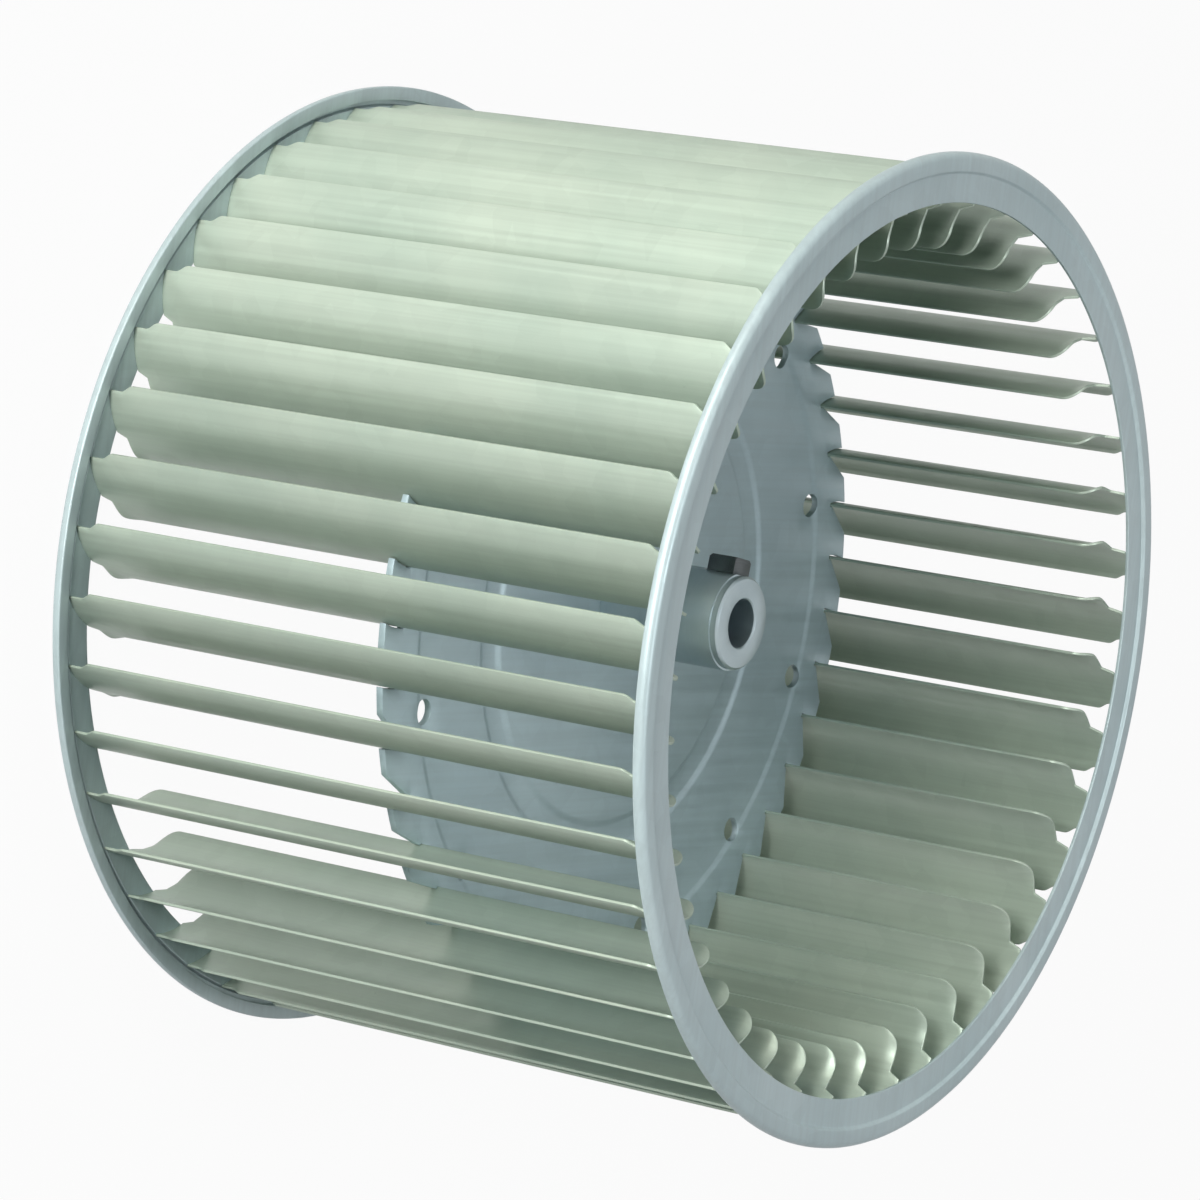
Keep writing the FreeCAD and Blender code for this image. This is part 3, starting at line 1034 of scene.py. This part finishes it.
def make_floor(stage):
    """A square floor under the wheel, which looks white and keeps a part of the wheel's shadow."""
    half = FLOOR_SIZE / 2
    corners = [(-half, -half), (half, -half), (half, half), (-half, half)]
    mesh = mesh_of("floor", [(x, y, CAD_LOW.z) for x, y in corners], [(0, 1, 2, 3)])
    floor = object_of("floor", mesh)
    material = bpy.data.materials.new("Pale floor")
    material.use_nodes = True
    tree = material.node_tree
    tree.nodes.clear()
    grey = (stage.floor, stage.floor, stage.floor, 1)
    plain = added(tree, "ShaderNodeBsdfDiffuse", {"Color": grey}).outputs[0]
    white = added(tree, "ShaderNodeEmission", {"Strength": 1.0}).outputs[0]
    shown = added(tree, "ShaderNodeMixShader", {"Fac": stage.shadow, 1: white, 2: plain}).outputs[0]
    mixed = added(tree, "ShaderNodeMixShader", {"Fac": backdrop_mask(tree), 1: plain, 2: shown}).outputs[0]
    added(tree, "ShaderNodeOutputMaterial", {"Surface": mixed})
    mesh.materials.append(material)


def make_world(stage):
    world = bpy.data.worlds.new("Studio")
    world.use_nodes = True
    tree = world.node_tree
    strength = spread(tree, backdrop_mask(tree), 0, 1, stage.fill, 1.0)
    feed(tree, tree.nodes["Background"], {"Color": (1, 1, 1, 1), "Strength": strength})
    bpy.context.scene.world = world


def make_lamp(name, spot, size, power, tint):
    """A round lamp that faces the middle of the wheel."""
    lamp = bpy.data.lights.new(name, "AREA")
    lamp.shape = "DISK"
    lamp.size = size
    lamp.energy = power
    lamp.color = tint
    holder = object_of(name, lamp)
    holder.location = spot
    holder.rotation_mode = "QUATERNION"
    holder.rotation_quaternion = (-spot).to_track_quat("-Z", "Y")


def make_camera(stage):
    """Makes the camera and gives back the picture's directions: right, up and toward the camera."""
    right, up = Vector(stage.right).normalized(), Vector(stage.up).normalized()
    back = right.cross(up).normalized()
    up = back.cross(right)
    data = bpy.data.cameras.new("Camera")
    data.lens = stage.lens
    data.sensor_width = SENSOR_WIDTH
    data.clip_start, data.clip_end = CLIP_RANGE
    camera = object_of("Camera", data)
    turned = Matrix((right, up, back)).transposed().to_4x4()
    camera.matrix_world = Matrix.Translation(stage.location) @ turned
    bpy.context.scene.camera = camera
    return right, up, back


class BLOWER_OT_stage(bpy.types.Operator):
    """Sets the floor, the lamps and the camera"""
    bl_idname = "blower.stage"
    bl_label = "Stage"

    def execute(self, context):
        stage = context.scene.blower_stage
        make_floor(stage)
        make_world(stage)
        right, up, back = make_camera(stage)
        for name, (to_right, to_up, to_back), *settings in PICTURE_LAMPS:
            make_lamp(name, right * to_right + up * to_up + back * to_back, *settings)
        name, spot, *settings = AXIS_LAMP
        make_lamp(name, Vector(spot), *settings)
        context.scene.view_settings.view_transform = "Standard"
        return {"FINISHED"}


# Panel

# Each step with the settings that are listed under it
PANEL_ROWS = (
    ("blower.blades", "blower_blades"),
    ("blower.rings", "blower_rings"),
    ("blower.disc", "blower_disc"),
    ("blower.hub", "blower_hub"),
    ("blower.set_screw", "blower_finish"),
    ("blower.stage", "blower_stage"),
)


class BLOWER_PT_panel(bpy.types.Panel):
    """Lists the steps that make the wheel"""
    bl_idname = "BLOWER_PT_panel"
    bl_label = "Blower wheel"
    bl_space_type = "VIEW_3D"
    bl_region_type = "UI"
    bl_category = "Blower wheel"

    def draw(self, context):
        for operator, settings in PANEL_ROWS:
            self.layout.operator(operator)
            group = getattr(context.scene, settings)
            for key in group.__annotations__:
                self.layout.prop(group, key)


GROUPS = {
    "blower_blades": BLOWER_PG_blades,
    "blower_rings": BLOWER_PG_rings,
    "blower_disc": BLOWER_PG_disc,
    "blower_hub": BLOWER_PG_hub,
    "blower_finish": BLOWER_PG_finish,
    "blower_stage": BLOWER_PG_stage,
}
CLASSES = (
    BLOWER_OT_blades, BLOWER_OT_rings, BLOWER_OT_disc, BLOWER_OT_hub, BLOWER_OT_set_screw, BLOWER_OT_stage,
    BLOWER_PT_panel,
)


def register():
    for name, group in GROUPS.items():
        bpy.utils.register_class(group)
        setattr(bpy.types.Scene, name, bpy.props.PointerProperty(type=group))
    for item in CLASSES:
        bpy.utils.register_class(item)


def unregister():
    for item in reversed(CLASSES):
        bpy.utils.unregister_class(item)
    for name, group in GROUPS.items():
        delattr(bpy.types.Scene, name)
        bpy.utils.unregister_class(group)


def main():
    register()
    bpy.ops.blower.blades()
    bpy.ops.blower.rings()
    bpy.ops.blower.disc()
    bpy.ops.blower.hub()
    bpy.ops.blower.set_screw()
    bpy.ops.blower.stage()


if __name__ == "__main__":
    main()
